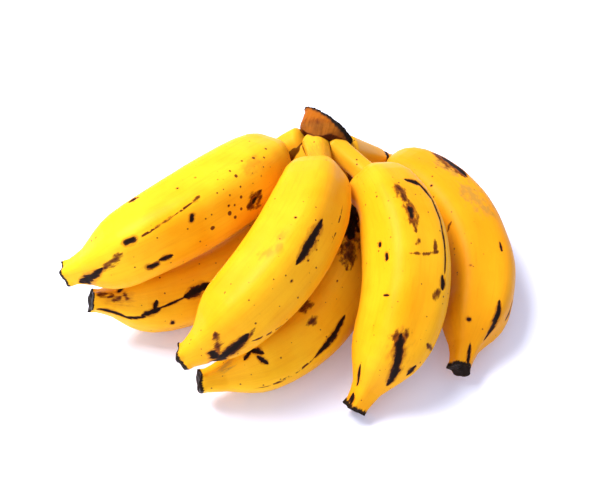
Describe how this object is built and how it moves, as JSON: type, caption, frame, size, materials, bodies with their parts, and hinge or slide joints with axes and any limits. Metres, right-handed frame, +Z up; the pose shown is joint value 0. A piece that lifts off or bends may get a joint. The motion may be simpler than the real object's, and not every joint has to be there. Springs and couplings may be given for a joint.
{
  "type": "hand of bananas",
  "caption": "Hand of short plump ripe bananas fanning out from a cut crown and lying on its lower row of fruits.",
  "frame": {"origin": "on the table, under the middle of the hand's footprint", "axes": "+Z up from the table, +X towards the far right fruit, +Y towards the crown"},
  "size_m": [0.1919, 0.1389, 0.0713],
  "materials": {
    "banana_skin": "waxy ripe peel, yellow with brown sugar spots and dark bruises, satin",
    "crown_stalk": "drying orange-brown stalk fibre with a blackened cut edge, matt"
  },
  "bodies": {
    "root": {"crown": "crown_stalk", "finger_front": "banana_skin", "finger_front_right": "banana_skin", "finger_back_left": "banana_skin", "finger_far_right": "banana_skin", "finger_under_left": "banana_skin", "finger_under_front": "banana_skin"}
  },
  "joints": []
}
